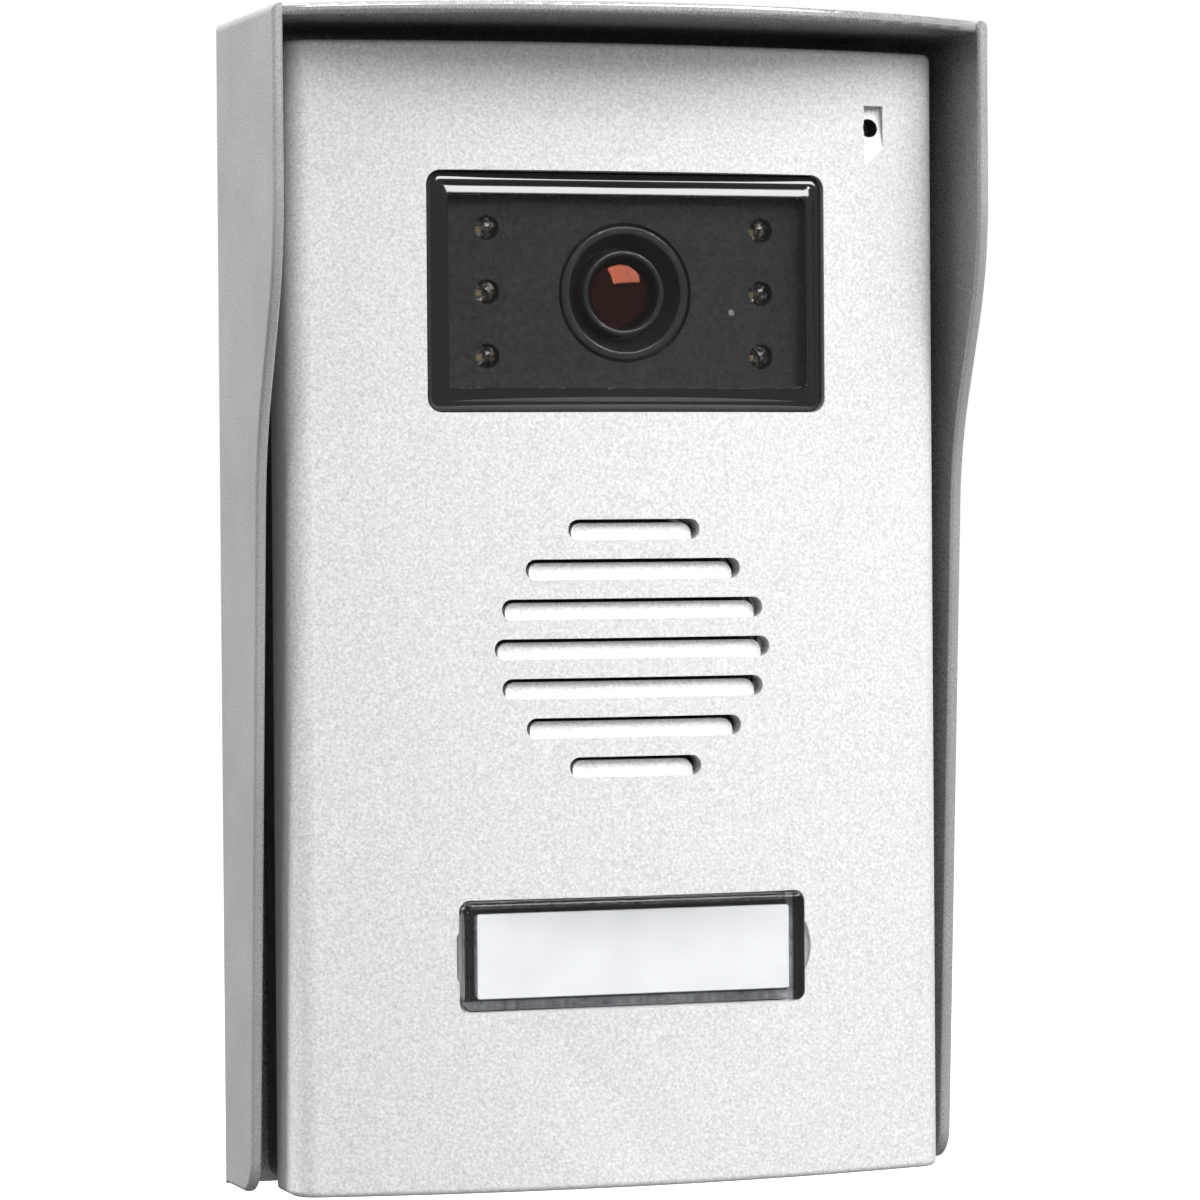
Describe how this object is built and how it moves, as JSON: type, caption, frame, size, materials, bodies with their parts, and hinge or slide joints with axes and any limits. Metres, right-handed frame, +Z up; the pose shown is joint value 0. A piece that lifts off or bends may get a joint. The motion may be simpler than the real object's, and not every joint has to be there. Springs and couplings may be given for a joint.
{
  "type": "door intercom panel",
  "caption": "Wall-mounted video door station: bowed silver case with camera window, speaker slots, microphone and a lit name-label call button, in a rain hood.",
  "frame": {"origin": "centre of the four wall-fixing holes, on the back face of the hood, which is the wall plane", "axes": "+Z up, -Y out of the wall towards the visitor, +X to the right seen from the front"},
  "size_m": [0.0986, 0.0425, 0.154],
  "materials": {
    "aluminium_can": "drawn can",
    "black_plastic": "fine moulded texture",
    "brass": "turned",
    "case_paint": "sparkling silver, sandblast texture",
    "chip_black": "matte epoxy",
    "circuit_board": "green solder mask",
    "clear_button": "polished polycarbonate",
    "clear_window": "polished acrylic",
    "copper": "enamelled wire",
    "dark_plate": "fine spark-eroded texture",
    "ferrite": "sintered",
    "filter_glass": "coated",
    "hood_paint": "fine satin silver",
    "label_white": "blank white card",
    "lead_black": "sleeve",
    "lead_grey": "insulation",
    "lead_red": "insulation",
    "led_clear": "clear epoxy",
    "led_white": "white body",
    "lens_black": "semi-gloss",
    "lens_glass": "coated, reddish reflection",
    "rubber": "matte",
    "speaker_film": "pressed film",
    "spring_steel": "drawn wire",
    "steel": "zinc plated",
    "terminal_green": "moulded",
    "trimmer_blue": "moulded",
    "white_plastic": "translucent white"
  },
  "bodies": {
    "station": {"backlight_leds": "led_white", "board_spacers": "brass", "cable_grommet": "rubber", "call_switch_body": "black_plastic", "camera_board": "circuit_board", "camera_board_screws": "steel", "camera_faceplate": "dark_plate", "camera_gasket": "rubber", "camera_lead": "lead_black", "camera_window": "clear_window", "cover_screws": "steel", "faceplate_screws": "steel", "front_cover": "case_paint", "hood_fixing_screw": "steel", "hood_screw_insert": "brass", "housing_seal": "rubber", "image_sensor": "chip_black", "ir_board": "circuit_board", "ir_filter": "filter_glass", "ir_led_1": "led_clear", "ir_led_2": "led_clear", "ir_led_3": "led_clear", "ir_led_4": "led_clear", "ir_led_5": "led_clear", "ir_led_6": "led_clear", "lens_barrel": "lens_black", "lens_front_element": "lens_glass", "lens_holder": "black_plastic", "lens_shroud": "lens_black", "light_sensor": "white_plastic", "lock_relay": "white_plastic", "main_board": "circuit_board", "main_board_screws": "steel", "microphone": "aluminium_can", "microphone_boot": "rubber", "microphone_lead": "lead_grey", "power_capacitor": "aluminium_can", "processor_chip": "chip_black", "rain_hood": "hood_paint", "rear_cover": "black_plastic", "return_spring_left": "spring_steel", "return_spring_right": "spring_steel", "speaker_basket": "steel", "speaker_clamp_screws": "steel", "speaker_cone": "speaker_film", "speaker_gasket": "rubber", "speaker_lead": "lead_red", "speaker_magnet": "ferrite", "speaker_pole": "steel", "terminal_block": "terminal_green", "terminal_screws": "steel", "voice_coil": "copper", "volume_trimmer_body": "trimmer_blue", "wire_header": "white_plastic"},
    "call_button": {"button_cover": "clear_button", "name_label": "label_white", "light_guide": "white_plastic", "button_frame": "black_plastic"},
    "switch_plunger": {"call_switch_plunger": "white_plastic"},
    "trimmer_rotor": {"volume_trimmer_rotor": "white_plastic"}
  },
  "joints": [
    {"name": "button_press", "type": "slide", "parent": "station", "child": "call_button", "axis": [0, 1, 0], "range_m": [0, 0.0012], "stiffness_N_per_m": 1200, "springref_m": -0.0006, "deforming": ["return_spring_left", "return_spring_right"]},
    {"name": "switch_press", "type": "slide", "parent": "station", "child": "switch_plunger", "axis": [0, 1, 0], "range_m": [0, 0.0012]},
    {"name": "volume_turn", "type": "hinge", "parent": "station", "child": "trimmer_rotor", "pos_m": [0.024, -0.0113, -0.042], "axis": [0, 1, 0], "range_deg": [-135, 135]}
  ],
  "couplings": [
    {"joint": "switch_press", "follows": "button_press", "ratio": 1}
  ]
}
